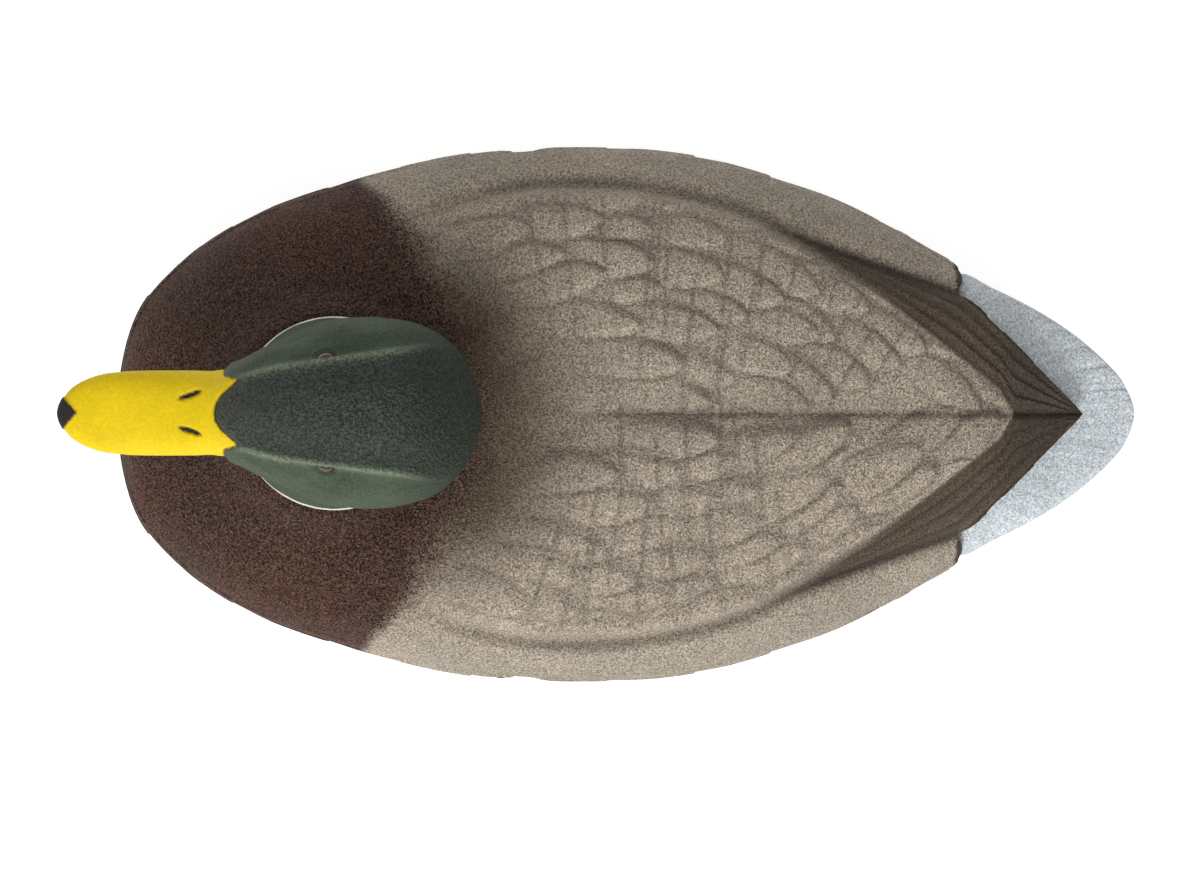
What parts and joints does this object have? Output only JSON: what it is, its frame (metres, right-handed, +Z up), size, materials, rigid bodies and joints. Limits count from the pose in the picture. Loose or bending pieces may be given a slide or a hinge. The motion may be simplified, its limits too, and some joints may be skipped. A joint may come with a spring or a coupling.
{
  "type": "spinning-wing drake decoy",
  "caption": "Life-size mallard drake decoy with a hollow body, geared drive to a wing hub in each flank, turning head, stake socket and battery bay; clip-on wings taken off.",
  "frame": {"origin": "on the stake socket's axis, in the plane of the flat belly", "axes": "+Z up, -Y towards the bill, +X towards the decoy's left flank"},
  "size_m": [0.2024, 0.3939, 0.1779],
  "materials": {
    "back_shell": "flocked moulded plastic",
    "belly_shell": "moulded plastic",
    "tail_fan": "flocked moulded plastic",
    "head": "painted moulded plastic",
    "eyes": "gloss",
    "seam_gasket": "moulded",
    "shell_screws": "satin",
    "tail_screws": "satin",
    "neck_washer": "moulded",
    "neck_retainer": "moulded",
    "neck_screws": "satin",
    "wing_shaft": "ground",
    "shaft_bushes": "sintered",
    "shaft_seals": "moulded",
    "left_wing_hub": "moulded",
    "right_wing_hub": "moulded",
    "hub_magnets": "nickel plated",
    "hub_pins": "spring steel",
    "shaft_collars": "satin",
    "drive_gear": "moulded",
    "motor_pinion": "machined",
    "motor_shaft": "ground",
    "motor": "plated can",
    "drive_frame": "folded sheet",
    "frame_bushes": "sintered",
    "frame_screws": "satin",
    "motor_screws": "satin",
    "battery": "moulded case",
    "battery_terminals": "stamped",
    "battery_straps": "webbing",
    "battery_door": "moulded",
    "door_gasket": "moulded",
    "hinge_pins": "satin",
    "latch_knob": "moulded",
    "switch_body": "moulded",
    "switch_rocker": "gloss",
    "charge_jack": "moulded",
    "jack_cap": "moulded",
    "control_board": "solder mask",
    "board_parts": "moulded",
    "board_screws": "satin",
    "battery_leads": "insulated wire",
    "motor_leads": "insulated wire",
    "panel_leads": "insulated wire",
    "stake_socket": "satin",
    "socket_screws": "satin"
  },
  "bodies": {
    "housing": {"back_shell": "back_shell", "belly_shell": "belly_shell", "tail_fan": "tail_fan", "seam_gasket": "seam_gasket", "shell_screws": "shell_screws", "tail_screws": "tail_screws", "neck_washer": "neck_washer", "shaft_bushes": "shaft_bushes", "shaft_seals": "shaft_seals", "motor": "motor", "drive_frame": "drive_frame", "frame_bushes": "frame_bushes", "frame_screws": "frame_screws", "motor_screws": "motor_screws", "battery": "battery", "battery_terminals": "battery_terminals", "battery_straps": "battery_straps", "door_gasket": "door_gasket", "hinge_pins": "hinge_pins", "switch_body": "switch_body", "charge_jack": "charge_jack", "control_board": "control_board", "board_parts": "board_parts", "board_screws": "board_screws", "battery_leads": "battery_leads", "motor_leads": "motor_leads", "panel_leads": "panel_leads", "stake_socket": "stake_socket", "socket_screws": "socket_screws"},
    "head": {"head": "head", "eyes": "eyes", "neck_retainer": "neck_retainer", "neck_screws": "neck_screws"},
    "wing_drive": {"wing_shaft": "wing_shaft", "left_wing_hub": "left_wing_hub", "right_wing_hub": "right_wing_hub", "hub_magnets": "hub_magnets", "hub_pins": "hub_pins", "shaft_collars": "shaft_collars", "drive_gear": "drive_gear"},
    "pinion": {"motor_pinion": "motor_pinion", "motor_shaft": "motor_shaft"},
    "door": {"battery_door": "battery_door"},
    "latch": {"latch_knob": "latch_knob"},
    "rocker": {"switch_rocker": "switch_rocker"},
    "cap": {"jack_cap": "jack_cap"}
  },
  "joints": [
    {"name": "wing_spin", "type": "hinge", "parent": "housing", "child": "wing_drive", "pos_m": [0, -0.03, 0.056], "axis": [1, 0, 0], "continuous": true},
    {"name": "motor_spin", "type": "hinge", "parent": "housing", "child": "pinion", "pos_m": [0, -0.05771, 0.04], "axis": [1, 0, 0], "continuous": true},
    {"name": "head_turn", "type": "hinge", "parent": "housing", "child": "head", "pos_m": [0, -0.096, 0.114], "axis": [0, 0, 1], "range_deg": [-60, 60]},
    {"name": "battery_door_swing", "type": "hinge", "parent": "housing", "child": "door", "pos_m": [0, 0.0186, 0.0026], "axis": [-1, 0, 0], "range_deg": [0, 90]},
    {"name": "latch_turn", "type": "hinge", "parent": "door", "child": "latch", "pos_m": [0, 0.079, 0], "axis": [0, 0, 1], "range_deg": [0, 90]},
    {"name": "rocker_tip", "type": "hinge", "parent": "housing", "child": "rocker", "pos_m": [-0.014, -0.1, 0.009], "axis": [0, 1, 0], "range_deg": [0, 16]},
    {"name": "jack_cap_swing", "type": "hinge", "parent": "housing", "child": "cap", "pos_m": [0.024, -0.1, 0.0056], "axis": [0, -1, 0], "range_deg": [0, 90]}
  ],
  "couplings": [
    {"joint": "motor_spin", "follows": "wing_spin", "ratio": -3}
  ]
}
